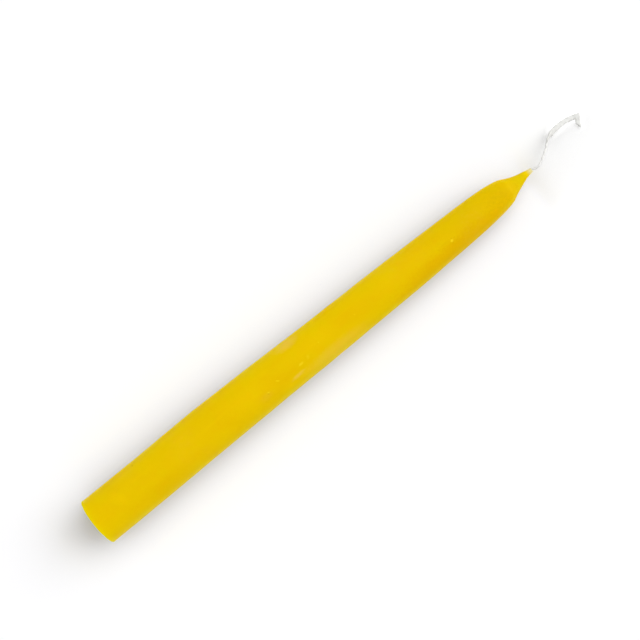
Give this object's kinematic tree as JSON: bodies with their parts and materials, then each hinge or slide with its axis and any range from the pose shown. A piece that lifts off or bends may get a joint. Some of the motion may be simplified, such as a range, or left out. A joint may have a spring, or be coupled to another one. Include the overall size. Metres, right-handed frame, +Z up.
{
  "type": "beeswax taper candle",
  "caption": "Plain beeswax taper candle lying on its side: parallel butt, long taper, rounded shoulder, hollow nose, and a braided cotton wick whose free end rests beside the tip.",
  "frame": {"origin": "on the surface that the candle lies on, under the middle of the wax body", "axes": "+X along the candle from the butt to the wick, +Z up from the surface"},
  "size_m": [0.2763, 0.022, 0.0232],
  "materials": {
    "beeswax": "satin yellow beeswax, slightly translucent, with faint bloom",
    "waxed_cotton": "plaited cotton soaked in wax",
    "bare_cotton": "flat braided cotton, undyed white, matt"
  },
  "bodies": {
    "root": {"wax_body": "beeswax", "wick_bundle_1": "waxed_cotton", "wick_bundle_2": "waxed_cotton", "wick_bundle_3": "waxed_cotton", "wick_free": "bare_cotton"}
  },
  "joints": []
}
